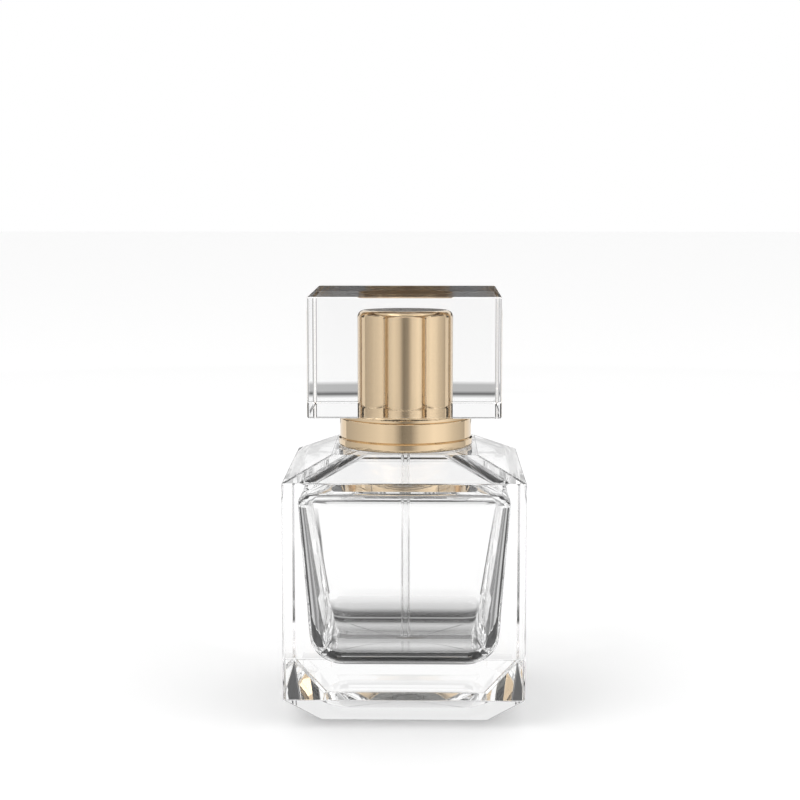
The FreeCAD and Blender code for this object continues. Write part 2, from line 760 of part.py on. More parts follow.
def spray_nozzle():
    """Round insert with a swirl chamber behind and a dimpled orifice in front."""
    body = new_body("spray_nozzle")
    turn_profile(body, "insert", (
        ("nozzle_dimple / 2", "0"),
        ("nozzle_radius", "0"),
        ("nozzle_radius", "nozzle_depth"),
        ("nozzle_dimple / 2", "nozzle_depth"),
        ("nozzle_orifice / 2", "nozzle_depth - nozzle_swirl_depth"),
        ("nozzle_orifice / 2", "nozzle_swirl_depth"),
        ("nozzle_dimple / 2", "nozzle_swirl_depth"),
    ))
    body.Placement = Placement(Vector(), Rotation(Vector(1, 0, 0), 90))
    body.setExpression("Placement.Base.y", bound("-nozzle_back"))
    body.setExpression("Placement.Base.z", bound("nozzle_z"))
    return body


def cap_block():
    """Clear block with a blind bore for the sleeve."""
    body = new_body("cap_block")
    sketch = new_sketch(body, "square", "XY_Plane", "cap_foot_z")
    draw_rounded_square(sketch, "cap_half", "cap_corner")
    block = body.newObject("PartDesign::Pad", "cap_block_pad")
    block.Profile = sketch
    block.setExpression("Length", bound("cap_top_z - cap_foot_z"))
    doc.recompute()
    for name, height in (("foot", "cap_foot_z"), ("top", "cap_top_z")):
        inner = "cap_half - cap_corner - cap_edge_round"
        round_edges(body, f"{name}_round", level_edge(height, "cap_half", inner), "cap_edge_round")
    turn_profile(body, "bore", (
        ("0", "cap_foot_z - cap_lift_gap"),
        ("block_bore_radius", "cap_foot_z - cap_lift_gap"),
        ("block_bore_radius", "sleeve_top_z + slip"),
        ("0", "sleeve_top_z + slip"),
    ), "PartDesign::Groove")
    round_edges(body, "bore_round", level_edge("sleeve_top_z + slip", "block_bore_radius"), "sleeve_round")
    return body


def cup(label, inside, outside, foot, roof, top, inner_round, outer_round):
    """A turned cup with its mouth down and a rounded crown."""
    body = new_body(label)
    turn_profile(body, "wall", (
        (inside, foot), (outside, foot), (outside, top), ("0", top), ("0", roof), (inside, roof),
    ))
    round_edges(body, "outer_round", level_edge(top, outside), outer_round)
    round_edges(body, "inner_round", level_edge(roof, inside), inner_round)
    return body


def cap_sleeve():
    """Drawn cup bonded into the block's bore."""
    return cup("cap_sleeve", "sleeve_inside", "sleeve_radius", "cap_foot_z", "liner_top_z", "sleeve_top_z",
               "sleeve_round - sleeve_wall", "sleeve_round")


def cap_liner():
    """Moulded cup inside the sleeve that slides over the collar's neck."""
    return cup("cap_liner", "liner_inside", "liner_radius", "liner_foot_z", "liner_roof_z", "liner_top_z",
               "liner_wall / 2", "sleeve_round - sleeve_wall + slip")


pieces = [make() for make in (
    glass_bottle, neck_gasket, crimp_ferrule, collar_insert, collar_shell, pump_housing, barrel_cap,
    stem_gasket, stem, piston, valve_pin, return_spring, inlet_ball, dip_tube, button_core, button_shell,
    spray_nozzle, cap_block, cap_sleeve, cap_liner,
)]
doc.recompute()

for item in doc.Objects:
    if "Invalid" in item.State or "Error" in item.State:
        raise RuntimeError(f"{item.Label} did not build: {item.State}")
for piece in pieces:
    if piece.Shape.isNull() or not piece.Shape.isValid() or len(piece.Shape.Solids) != 1:
        raise RuntimeError(f"{piece.Label} is not one sound solid")

os.makedirs("parts", exist_ok=True)
for piece in pieces:
    piece.Shape.exportStep(f"parts/{piece.Label}.step")
    print(f"{piece.Label}: {piece.Shape.Volume:.2f} mm3")
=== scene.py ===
import json
import math

import bpy
from bpy.props import FloatProperty, FloatVectorProperty, PointerProperty
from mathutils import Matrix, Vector


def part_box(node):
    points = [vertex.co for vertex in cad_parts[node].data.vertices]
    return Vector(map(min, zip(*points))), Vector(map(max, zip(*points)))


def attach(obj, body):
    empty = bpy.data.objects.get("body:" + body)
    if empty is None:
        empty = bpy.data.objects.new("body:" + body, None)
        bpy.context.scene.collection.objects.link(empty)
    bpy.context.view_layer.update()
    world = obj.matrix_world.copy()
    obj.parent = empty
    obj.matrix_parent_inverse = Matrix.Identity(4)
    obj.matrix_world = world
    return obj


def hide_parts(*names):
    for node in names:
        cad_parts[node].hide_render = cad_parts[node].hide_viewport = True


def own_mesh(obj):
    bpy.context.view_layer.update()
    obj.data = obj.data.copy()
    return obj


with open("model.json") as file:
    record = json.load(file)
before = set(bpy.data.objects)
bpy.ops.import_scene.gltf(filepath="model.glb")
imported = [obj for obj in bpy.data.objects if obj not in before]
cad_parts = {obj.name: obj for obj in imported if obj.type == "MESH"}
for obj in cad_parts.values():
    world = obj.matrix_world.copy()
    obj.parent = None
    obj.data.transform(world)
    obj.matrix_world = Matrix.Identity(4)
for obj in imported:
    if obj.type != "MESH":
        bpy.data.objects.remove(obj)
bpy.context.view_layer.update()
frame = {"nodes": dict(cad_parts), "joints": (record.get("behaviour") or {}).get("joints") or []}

bl_info = {
    "name": "Square spray bottle",
    "version": (1, 0, 0),
    "blender": (4, 5, 0),
    "location": "3D View > Sidebar > Bottle",
    "description": "Builds the glass, cap and finishes of a square spray bottle around its frame",
    "category": "Object",
}

MM = 0.001
GLASS_LOW, GLASS_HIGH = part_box("glass_bottle")
COLLAR_LOW, COLLAR_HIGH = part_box("collar_shell")
BLOCK_LOW, BLOCK_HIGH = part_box("cap_block")
SLEEVE_LOW, SLEEVE_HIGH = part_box("cap_sleeve")
PRESS = next(joint for joint in frame["joints"] if joint["name"] == "button_press")
UP = Vector((0, 0, 1))
QUARTER_TURNS = (1, 0), (0, 1), (-1, 0), (0, -1)
SIDE_STEPS = 16
CORNER_STEPS = 12
ROUND_STEPS = 10
CARD_STEPS = 24
WHITE = (1, 1, 1, 1)
ROOM_LIGHT = 0.85
SEEN_ROOM = 1.0
FLOOR_WIDTH = 6.0
FLOOR_Z = -0.05 * MM
FLOOR_GLOW = 0.17
FOOT_SHADOW_CARD_Z = -0.01 * MM
FLOOR_CARD_Z = -0.02 * MM
PALE = 0.95
DARK = 0.05
BLACK = 0.02


def length(name, description, default):
    """A length property in metres with its name, description and default."""
    return FloatProperty(name=name, description=description, default=default, unit="LENGTH", precision=5)


def linear(code):
    """An sRGB hex value as linear RGB."""
    channels = [int(code[place:place + 2], 16) / 255 for place in (1, 3, 5)]
    return tuple(c / 12.92 if c <= 0.04045 else ((c + 0.055) / 1.055) ** 2.4 for c in channels)


def colour(name, description, code):
    """A colour property whose default is an sRGB hex value."""
    return FloatVectorProperty(name=name, description=description, default=linear(code), subtype="COLOR",
                               size=3, min=0, max=1)


class BottleGlassSizes(bpy.types.PropertyGroup):
    """Sizes of the glass body, its cavity and its crimp neck."""

    body_width: length("Body width", "Width of the square body", GLASS_HIGH.x - GLASS_LOW.x)
    rim_height: length("Rim height", "Height of the edge where the shoulder starts", 43.2 * MM)
    bevel_height: length("Bevel height", "Height of the bevel round the foot", 5.2 * MM)
    bevel_inset: length("Bevel inset", "How far the foot stands inside the body", 6.0 * MM)
    shoulder_rise: length("Shoulder rise", "Rise of the shoulder from the rim to the collar", 3.8 * MM)
    platform_width: length("Platform width", "Width of the flat under the collar",
                           COLLAR_HIGH.x - COLLAR_LOW.x + 1.4 * MM)
    edge_round: length("Edge round", "Radius of the upright edges", 0.6 * MM)
    rim_round: length("Rim round", "Radius of the level edges", 0.35 * MM)
    floor_thickness: length("Floor thickness", "Glass under the cavity", 10.0 * MM)
    wall_at_floor: length("Wall at floor", "Wall beside the cavity's floor", 4.6 * MM)
    wall_at_rim: length("Wall at rim", "Wall beside the cavity's ceiling", 2.4 * MM)
    shoulder_wall: length("Shoulder wall", "Glass over the cavity's ceiling", 2.8 * MM)
    cavity_corner: length("Cavity corner", "Radius of the cavity's upright corners at its ceiling", 2.8 * MM)
    floor_corner: length("Floor corner", "Radius of the cavity's upright corners at its floor", 6.0 * MM)
    floor_round: length("Floor round", "Radius round the cavity's floor", 5.8 * MM)
    ceiling_round: length("Ceiling round", "Radius where the cavity meets its sloped ceiling", 2.5 * MM)
    throat_width: length("Throat width", "Width of the ceiling's flat round the bore", 15.0 * MM)
    bore_radius: length("Bore radius", "Radius of the neck's bore", 5.5 * MM)
    waist_radius: length("Waist radius", "Radius of the neck under its bead", 8.1 * MM)
    bead_radius: length("Bead radius", "Radius of the bead that the ferrule grips", 9.0 * MM)
    waist_height: length("Waist height", "Height of the neck under its bead", 1.3 * MM)
    neck_round: length("Neck round", "Radius of the neck's top edges", 0.4 * MM)


class BottleCapSizes(bpy.types.PropertyGroup):
    """Sizes of the clear block of the cap."""

    corner: length("Corner", "Radius of the block's upright edges", 0.5 * MM)
    edge_round: length("Edge round", "Radius of the block's level edges", 0.3 * MM)
    bore_round: length("Bore round", "Radius at the bore's crown", 1.2 * MM)
    bond: length("Bond", "How far the bond reaches into the sleeve's skin", 0.05 * MM)


class BottlePumpSizes(bpy.types.PropertyGroup):
    """Sizes of the pump that its moving pieces need."""

    stroke: length("Stroke", "How far the spray button is pressed", PRESS["range_m"][1])


class BottleColours(bpy.types.PropertyGroup):
    """Colours of the finishes."""

    gold: colour("Gold", "Champagne gold of the anodised pieces", "#DCC4A2")
    aluminium: colour("Aluminium", "Plain drawn aluminium", "#C9CACC")
    moulding: colour("Moulding", "Natural moulded plastic", "#EDECE6")
    rubber: colour("Rubber", "Seals", "#E6E4DE")
    steel: colour("Steel", "Spring wire and ball", "#C4C5C6")
    glass: colour("Glass", "Clear flint glass", "#FDFDFD")
    acrylic: colour("Acrylic", "Clear cast acrylic", "#FEFEFE")
    tube: colour("Tube", "Clear extruded tube", "#FFFFFF")
    floor: colour("Floor", "Pale studio floor", "#F4F4F4")


class BottleStage(bpy.types.PropertyGroup):
    """The photographed view and the studio round it."""

    camera_place: FloatVectorProperty(name="Camera place", description="Where the camera stands", size=3,
                                      default=(0.00429, -0.3235, 0.0947), subtype="TRANSLATION",
                                      unit="LENGTH")
    camera_pitch: FloatProperty(name="Camera pitch", description="How far the camera looks down",
                                default=math.radians(6.98), subtype="ANGLE")
    camera_yaw: FloatProperty(name="Camera yaw", description="How far the camera looks to the left",
                              default=math.radians(0.94), subtype="ANGLE")
    camera_lens: FloatProperty(name="Camera lens", description="Focal length in millimetres", default=80.91,
                               unit="CAMERA")
    sensor_width: FloatProperty(name="Sensor width", description="Width of the sensor in millimetres",
                                default=36.0, unit="CAMERA")
    key_power: FloatProperty(name="Key power", description="Power of the light on the left", default=2.0,
                             unit="POWER")
    fill_power: FloatProperty(name="Fill power", description="Power of the light on the right", default=1.0,
                              unit="POWER")
    light_size: length("Light size", "Width of the two square lights", 0.6)


def add_node(tree, kind, inputs=None, **settings):
    """A node with its settings, its plain values and its links."""
    node = tree.nodes.new(kind)
    for name, setting in settings.items():
        setattr(node, name, setting)
    for name, value in (inputs or {}).items():
        if isinstance(value, bpy.types.NodeSocket):
            tree.links.new(value, node.inputs[name])
        else:
            node.inputs[name].default_value = value
    return node


def start_material(name):
    """A new material with an empty tree and its output."""
    material = bpy.data.materials.new(name)
    material.use_nodes = True
    material.node_tree.nodes.clear()
    output = add_node(material.node_tree, "ShaderNodeOutputMaterial")
    return material, material.node_tree, output


def rgba(values):
    """A colour with its alpha."""
    return (*values, 1.0)


def set_material(node, material):
    """Give a frame node its finish in place of the plain one."""
    materials = frame["nodes"][node].data.materials
    materials.clear()
    materials.append(material)


def flint_glass(tint):
    """Soda-lime flint glass, moulded and fire polished: clear, with slow ripples from the mould."""
    material, tree, output = start_material("flint_glass_fire_polished")
    place = add_node(tree, "ShaderNodeTexCoord")
    ripple = add_node(tree, "ShaderNodeTexNoise", {"Vector": place.outputs["Object"], "Scale": 1 / (14 * MM),
                                                  "Detail": 1.0, "Roughness": 0.4})
    bump = add_node(tree, "ShaderNodeBump", {"Height": ripple.outputs["Fac"], "Strength": 0.05,
                                            "Distance": 0.2 * MM})
    shader = add_node(tree, "ShaderNodeBsdfPrincipled", {
        "Base Color": rgba(tint), "Roughness": 0.0, "IOR": 1.52, "Transmission Weight": 1.0,
        "Normal": bump.outputs["Normal"]})
    tree.links.new(shader.outputs["BSDF"], output.inputs["Surface"])
    return material


def cast_acrylic(tint):
    """Cast acrylic, sawn and flame polished: clearer than glass, with a faint wave on its faces."""
    material, tree, output = start_material("cast_acrylic_polished")
    place = add_node(tree, "ShaderNodeTexCoord")
    wave = add_node(tree, "ShaderNodeTexNoise", {"Vector": place.outputs["Object"], "Scale": 1 / (9 * MM),
                                                "Detail": 1.0, "Roughness": 0.4})
    bump = add_node(tree, "ShaderNodeBump", {"Height": wave.outputs["Fac"], "Strength": 0.02,
                                            "Distance": 0.1 * MM})
    shader = add_node(tree, "ShaderNodeBsdfPrincipled", {
        "Base Color": rgba(tint), "Roughness": 0.0, "IOR": 1.49, "Transmission Weight": 1.0,
        "Normal": bump.outputs["Normal"]})
    tree.links.new(shader.outputs["BSDF"], output.inputs["Surface"])
    return material


def anodised_gold(tint):
    """Drawn aluminium, polished and anodised champagne gold: bright, with faint lines round the axis."""
    material, tree, output = start_material("anodised_aluminium_gold")
    place = add_node(tree, "ShaderNodeTexCoord")
    # Lines 0.02 mm apart are too fine to show, so they are drawn 0.25 mm apart.
    squeeze = add_node(tree, "ShaderNodeMapping", {
        "Vector": place.outputs["Object"], "Scale": (0.03, 0.03, 1.0)})
    lines = add_node(tree, "ShaderNodeTexNoise", {
        "Vector": squeeze.outputs["Vector"], "Scale": 1 / (0.25 * MM), "Detail": 2.0})
    rough = add_node(tree, "ShaderNodeMapRange", {
        "Value": lines.outputs["Fac"], "To Min": 0.05, "To Max": 0.09})
    tone = add_node(tree, "ShaderNodeMixRGB", {
        "Fac": lines.outputs["Fac"], "Color1": rgba([c * 0.96 for c in tint]), "Color2": rgba(tint)})
    bump = add_node(tree, "ShaderNodeBump", {"Height": lines.outputs["Fac"], "Strength": 0.03,
                                            "Distance": 0.02 * MM})
    shader = add_node(tree, "ShaderNodeBsdfPrincipled", {
        "Base Color": tone.outputs["Color"], "Metallic": 1.0, "Roughness": rough.outputs["Result"],
        "Normal": bump.outputs["Normal"]})
    tree.links.new(shader.outputs["BSDF"], output.inputs["Surface"])
    return material


def grained_finish(name, tint, metallic, roughness, grain_mm, transmission=0.0, ior=1.5):
    """A fine even grain in tone, gloss and relief, for small moulded, drawn or rubber pieces."""
    material, tree, output = start_material(name)
    place = add_node(tree, "ShaderNodeTexCoord")
    grain = add_node(tree, "ShaderNodeTexNoise", {"Vector": place.outputs["Object"],
                                                 "Scale": 1 / (grain_mm * MM), "Detail": 3.0})
    tone = add_node(tree, "ShaderNodeMixRGB", {
        "Fac": grain.outputs["Fac"], "Color1": rgba([c * 0.9 for c in tint]), "Color2": rgba(tint)})
    gloss = 0.0
    if roughness:
        spread = add_node(tree, "ShaderNodeMapRange", {
            "Value": grain.outputs["Fac"], "To Min": roughness * 0.8, "To Max": roughness * 1.2})
        gloss = spread.outputs["Result"]
    bump = add_node(tree, "ShaderNodeBump", {"Height": grain.outputs["Fac"], "Strength": 0.1,
                                            "Distance": 0.02 * MM})
    shader = add_node(tree, "ShaderNodeBsdfPrincipled", {
        "Base Color": tone.outputs["Color"], "Metallic": metallic, "Roughness": gloss,
        "IOR": ior, "Transmission Weight": transmission, "Normal": bump.outputs["Normal"]})
    tree.links.new(shader.outputs["BSDF"], output.inputs["Surface"])
    return material


def square_ring(half, corner, height, growth=0):
    """Points of a rounded square, each with its plan normal and how fast it moves out as the square grows.

    Growth is how fast the corner's radius grows with the square: 1 keeps its centre in place.
    """
    ring = []
    flat = half - corner
    quarter = [(half, -flat + 2 * flat * step / SIDE_STEPS, 1, 0) for step in range(SIDE_STEPS)]
    for step in range(CORNER_STEPS):
        angle = math.pi / 2 * step / CORNER_STEPS
        cosine, sine = math.cos(angle), math.sin(angle)
        quarter.append((flat + corner * cosine, flat + corner * sine, cosine, sine))
    for cosine, sine in QUARTER_TURNS:
        for x, y, nx, ny in quarter:
            ring.append((Vector((cosine * x - sine * y, sine * x + cosine * y, height)),
                         Vector((cosine * nx - sine * ny, sine * nx + cosine * ny, 0)),
                         (nx + ny) * (1 - growth) + growth))
    return ring


def round_ring(radius, height):
    """Points of a circle, numbered like those of a rounded square."""
    count = 4 * (SIDE_STEPS + CORNER_STEPS)
    ring = []
    for step in range(count):
        angle = 2 * math.pi * step / count - math.pi / 4
        normal = Vector((math.cos(angle), math.sin(angle), 0))
        ring.append((normal * radius + Vector((0, 0, height)), normal, 1.0))
    return ring


def rounded_outline(corners):
    """Points with their runs along a line of (reach, height, radius) corners, one group for each corner."""
    stations = []
    count = len(corners)
    for index, (reach, height, radius) in enumerate(corners):
        here = Vector((reach, height))
        into = (here - Vector(corners[index - 1][:2])).normalized() if index else None
        away = (Vector(corners[index + 1][:2]) - here).normalized() if index < count - 1 else None
        if into is None or away is None or not radius:
            runs = [run for run in (into, away) if run is not None]
            stations.append([(here, run) for run in runs])
            continue
        bend = into.angle_signed(away)
        cut = radius * math.tan(abs(bend) / 2)
        side = Vector((-into.y, into.x)) * (-1 if bend > 0 else 1)
        centre = here - into * cut + side * radius
        arc = []
        for step in range(ROUND_STEPS + 1):
            turn = -bend * step / ROUND_STEPS
            run = Vector((into.x * math.cos(turn) - into.y * math.sin(turn),
                          into.x * math.sin(turn) + into.y * math.cos(turn)))
            out = Vector((-run.y, run.x)) * (-1 if bend > 0 else 1)
            arc.append((centre - out * radius, run))
        stations.append(arc)
    return stations


def skin_strips(outline, ring):
    """Pairs of rings with their runs, one pair for each strip along a rounded outline."""
    strips = []
    stations = rounded_outline(outline)
    for index, group in enumerate(stations):
        if len(group) > 2:
            for first, second in zip(group, group[1:]):
                strips.append((ring(*first[0]), first[1], ring(*second[0]), second[1]))
        if index < len(stations) - 1:
            first, second = group[-1], stations[index + 1][0]
            strips.append((ring(*first[0]), first[1], ring(*second[0]), second[1]))
    return strips


def surface_normal(plan_normal, spread, run):
    """The outward normal where a ring grows by run: reach along the plan normal, height up."""
    return (plan_normal * run.y - UP * run.x * spread).normalized()


def mesh_of_strips(name, strips, centres):
    """A closed mesh of strips between rings with exact normals at every corner, closed at two centres."""
    points, faces, normals, numbers = [], [], [], {}

    def number(point):
        key = tuple(round(value, 8) for value in point)
        if key not in numbers:
            numbers[key] = len(points)
            points.append(point)
        return numbers[key]

    def add_face(corners):
        kept = []
        for point, normal in corners:
            if not kept or number(point) != number(kept[-1][0]):
                kept.append((point, normal))
        if number(kept[0][0]) == number(kept[-1][0]):
            kept.pop()
        if len(kept) > 2:
            faces.append([number(point) for point, normal in kept])
            normals.extend(normal for point, normal in kept)

    for first, run_first, second, run_second in strips:
        count = len(first)
        for step in range(count):
            after = (step + 1) % count
            add_face([(ring[place][0], surface_normal(ring[place][1], ring[place][2], run))
                      for ring, run, place in ((first, run_first, step), (first, run_first, after),
                                               (second, run_second, after), (second, run_second, step))])
    for ring, centre, normal in centres:
        count = len(ring)
        for step in range(count):
            corners = [(ring[step][0], normal), (ring[(step + 1) % count][0], normal), (centre, normal)]
            add_face(corners)
    mesh = bpy.data.meshes.new(name)
    mesh.from_pydata([tuple(point) for point in points], [], faces)
    mesh.polygons.foreach_set("use_smooth", [True] * len(mesh.polygons))
    mesh.normals_split_custom_set([tuple(normal) for normal in normals])
    mesh.validate()
    piece = bpy.data.objects.new(name, mesh)
    bpy.context.scene.collection.objects.link(piece)
    return piece


def level_run(direction):
    """The run of a level face: out for 1, in for -1."""
    return Vector((direction, 0))


class BOTTLE_OT_glass(bpy.types.Operator):
    """Build the glass bottle with its cavity and neck"""

    bl_idname = "bottle.glass"
    bl_label = "Glass bottle"

    def execute(self, context):
        size = context.scene.bottle_glass
        body = size.body_width / 2
        foot = body - size.bevel_inset
        platform = size.platform_width / 2
        platform_z = size.rim_height + size.shoulder_rise
        waist_z = platform_z + size.waist_height
        corner_z = waist_z + size.bead_radius - size.waist_radius
        neck_z = GLASS_HIGH.z
        throat = size.throat_width / 2
        ceiling_z = size.rim_height - size.shoulder_wall
        floor_half = body - size.wall_at_floor
        rim_half = body - size.wall_at_rim
        throat_z = ceiling_z + (rim_half - throat) * size.shoulder_rise / (body - platform)

        narrowing = size.cavity_corner - size.floor_corner
        draft = rim_half - floor_half

        def outer(reach, height):
            return square_ring(reach, size.edge_round, height)

        def inner(reach, height):
            if height > ceiling_z:
                return square_ring(reach, size.cavity_corner, height)
            rise = (height - size.floor_thickness) / (ceiling_z - size.floor_thickness)
            wall = floor_half + draft * rise
            corner = size.floor_corner + narrowing * rise
            if height < size.floor_thickness + size.floor_round:
                return square_ring(reach, corner - wall + reach, height, 1)
            return square_ring(reach, corner, height, narrowing / draft)

        outside = skin_strips([
            (foot - size.bevel_inset, 0, 0),
            (foot, 0, size.rim_round),
            (body, size.bevel_height, size.rim_round),
            (body, size.rim_height, size.rim_round),
            (platform, platform_z, size.rim_round),
            (platform - 2 * size.rim_round, platform_z, 0),
        ], outer)
        shelf = [(outside[-1][2], level_run(-1), round_ring(size.waist_radius, platform_z), level_run(-1))]
        neck = skin_strips([
            (size.waist_radius, platform_z, 0),
            (size.waist_radius, waist_z, size.neck_round),
            (size.bead_radius, corner_z, size.neck_round),
            (size.bead_radius, neck_z, size.neck_round),
            (size.bore_radius, neck_z, size.neck_round),
            (size.bore_radius, throat_z, 0),
        ], round_ring)
        cavity = skin_strips([
            (throat, throat_z, 0),
            (rim_half, ceiling_z, size.ceiling_round),
            (floor_half, size.floor_thickness, size.floor_round),
            (floor_half - size.floor_round - size.rim_round, size.floor_thickness, 0),
        ], inner)
        throat_flat = [(neck[-1][2], level_run(1), cavity[0][0], level_run(1))]
        piece = mesh_of_strips("glass_body", outside + shelf + neck + throat_flat + cavity, [
            (list(reversed(outside[0][0])), Vector((0, 0, 0)), -UP),
            (cavity[-1][2], Vector((0, 0, size.floor_thickness)), UP),
        ])
        piece.data.materials.append(flint_glass(context.scene.bottle_colours.glass))
        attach(piece, "bottle")
        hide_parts("glass_bottle")
        return {"FINISHED"}


class BOTTLE_OT_cap_block(bpy.types.Operator):
    """Build the clear block of the cap, bonded to its sleeve"""

    bl_idname = "bottle.cap_block"
    bl_label = "Cap block"

    def execute(self, context):
        size = context.scene.bottle_cap
        half = (BLOCK_HIGH.x - BLOCK_LOW.x) / 2
        low, high = BLOCK_LOW.z, BLOCK_HIGH.z
        bore = (SLEEVE_HIGH.x - SLEEVE_LOW.x) / 2 - size.bond
        crown = SLEEVE_HIGH.z - size.bond
        middle = half - 4 * size.corner

        def block_ring(reach, height):
            return square_ring(reach, size.corner, height)

        outside = skin_strips([
            (middle, low, 0),
            (half, low, size.edge_round),
            (half, high, size.edge_round),
            (middle, high, 0),
        ], block_ring)
        bore_wall = skin_strips([
            (bore / 2, crown, 0),
            (bore, crown, size.bore_round),
            (bore, low, 0),
        ], round_ring)
        mouth = [(bore_wall[-1][2], level_run(1), outside[0][0], level_run(1))]
        piece = mesh_of_strips("cap_clear_block", outside + bore_wall + mouth, [
            (outside[-1][2], Vector((0, 0, high)), UP),
            (list(reversed(bore_wall[0][0])), Vector((0, 0, crown)), -UP),
        ])
        piece.data.materials.append(cast_acrylic(context.scene.bottle_colours.acrylic))
        # Clear acrylic lets the light through; a full shadow under it would be too dark.
        piece.visible_shadow = False
        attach(piece, "cap")
        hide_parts("cap_block")
        return {"FINISHED"}


class BOTTLE_OT_gold(bpy.types.Operator):
    """Finish the gold collar, sleeve and button"""

    bl_idname = "bottle.gold"
    bl_label = "Gold pieces"

    def execute(self, context):
        finish = anodised_gold(context.scene.bottle_colours.gold)
        for node in ("collar_shell", "cap_sleeve", "button_shell"):
            set_material(node, finish)
        return {"FINISHED"}


class BOTTLE_OT_pump(bpy.types.Operator):
    """Finish the pump, its ferrule, its seals and its dip tube"""

    bl_idname = "bottle.pump"
    bl_label = "Pump pieces"

    def execute(self, context):
        tones = context.scene.bottle_colours
        # Milky white with a soft gloss.
        moulding = grained_finish("polypropylene_moulded", tones.moulding, metallic=0.0, roughness=0.45,
                                  grain_mm=0.4)
        # Pale and matt.
        rubber = grained_finish("nitrile_rubber_moulded", tones.rubber, metallic=0.0, roughness=0.7,
                                grain_mm=0.3)
        # Grey and bright, a little soft from the drawing.
        steel = grained_finish("stainless_steel_drawn", tones.steel, metallic=1.0, roughness=0.25,
                               grain_mm=0.2)
        # Silver and satin.
        aluminium = grained_finish("aluminium_drawn", tones.aluminium, metallic=1.0, roughness=0.3,
                                   grain_mm=0.3)
        # Clear and smooth, with so low an index that it hardly shows.
        tube = grained_finish("fluoropolymer_tube_extruded", tones.tube, metallic=0.0, roughness=0.0,
                              grain_mm=2.0, transmission=1.0, ior=1.34)
        for finish, nodes in (
            (moulding, ("collar_insert", "pump_housing", "barrel_cap", "stem", "piston", "valve_pin",
                        "button_core", "spray_nozzle", "cap_liner")),
            (rubber, ("neck_gasket", "stem_gasket")),
            (steel, ("return_spring", "inlet_ball")),
            (aluminium, ("crimp_ferrule",)),
            (tube, ("dip_tube",)),
        ):
            for node in nodes:
                set_material(node, finish)
        frame["nodes"]["dip_tube"].visible_shadow = False

        coil = bpy.data.objects.new("spring_coil", frame["nodes"]["return_spring"].data.copy())
        context.scene.collection.objects.link(coil)
        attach(coil, "bottle")
        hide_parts("return_spring")
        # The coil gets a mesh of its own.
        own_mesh(coil)
        return {"FINISHED"}


def around(bearing, distance, height):
    """A point round the bottle; its bearing is in degrees from straight behind the bottle towards +X."""
    turn = math.radians(bearing)
    return (distance * math.sin(turn), distance * math.cos(turn), height)


def rings(bearings, stops):
    """Rails round the axis between two bearings, through stops of distance, height and shade."""
    start, end = bearings
    turns = [start + (end - start) * step / CARD_STEPS for step in range(CARD_STEPS + 1)]
    return [[(around(turn, distance, height), shade) for turn in turns] for distance, height, shade in stops]


def rays(places, stops):
    """Rails away from the axis through places of distance and height.

    A stop is a bearing and the shade at each place.
    """
    rails = []
    for bearing, *shades in stops:
        rails.append([(around(bearing, *place), shade) for place, shade in zip(places, shades)])
    return rails


def bars(half_width, height, stops):
    """Straight rails across the view, through stops of depth and shade."""
    return [[((side * half_width, depth, height), shade) for side in (-1, 1)] for depth, shade in stops]


def studio_card(name, material, rails):
    """A glowing card through rails of points and their shades, that only glass and metal see: a painted
    reflection.
    """
    points = [point for rail in rails for point, shade in rail]
    shades = [shade for rail in rails for point, shade in rail]
    faces = []
    width = len(rails[0])
    for row in range(len(rails) - 1):
        for step in range(width - 1):
            first = row * width + step
            faces.append((first, first + 1, first + width + 1, first + width))
    mesh = bpy.data.meshes.new(name)
    mesh.from_pydata(points, [], faces)
    mesh.attributes.new("shade", "FLOAT", "POINT").data.foreach_set("value", shades)
    mesh.materials.append(material)
    card = bpy.data.objects.new(name, mesh)
    bpy.context.scene.collection.objects.link(card)
    # Unseen by the camera, by diffuse light and by shadows: the card only shows as a painted reflection.
    card.visible_camera = False
    card.visible_diffuse = False
    card.visible_shadow = False


def reflection_card_glow():
    """A glow as strong as the shade of each place, from black to brighter than white: painted reflections of
    studio cards, which light nothing.
    """
    material, tree, output = start_material("studio_reflection_card_glow")
    shade = add_node(tree, "ShaderNodeAttribute", attribute_name="shade")
    glow = add_node(tree, "ShaderNodeEmission", {"Color": WHITE, "Strength": shade.outputs["Fac"]})
    tree.links.new(glow.outputs["Emission"], output.inputs["Surface"])
    return material


def add_camera(scene):
    """The camera at the photograph's viewing angle."""
    stage = scene.bottle_stage
    camera = bpy.data.objects.new("camera", bpy.data.cameras.new("camera"))
    scene.collection.objects.link(camera)
    camera.data.sensor_width = stage.sensor_width
    camera.data.lens = stage.camera_lens
    camera.data.clip_start = 10 * MM
    camera.location = stage.camera_place
    camera.rotation_euler = (math.pi / 2 - stage.camera_pitch, 0, stage.camera_yaw)
    scene.camera = camera


def add_room(scene):
    """An even white room, a little brighter where the camera, metal and glass see it than as a light."""
    world = bpy.data.worlds.new("studio")
    scene.world = world
    world.use_nodes = True
    tree = world.node_tree
    tree.nodes.clear()
    path = add_node(tree, "ShaderNodeLightPath")
    seen = add_node(tree, "ShaderNodeMath", {
        0: path.outputs["Is Camera Ray"], 1: path.outputs["Is Glossy Ray"]}, operation="MAXIMUM")
    shown = add_node(tree, "ShaderNodeMath", {
        0: seen.outputs[0], 1: path.outputs["Is Transmission Ray"]}, operation="MAXIMUM")
    strength = add_node(tree, "ShaderNodeMapRange", {
        "Value": shown.outputs[0], "To Min": ROOM_LIGHT, "To Max": SEEN_ROOM})
    light = add_node(tree, "ShaderNodeBackground", {"Color": WHITE, "Strength": strength.outputs["Result"]})
    output = add_node(tree, "ShaderNodeOutputWorld")
    tree.links.new(light.outputs["Background"], output.inputs["Surface"])


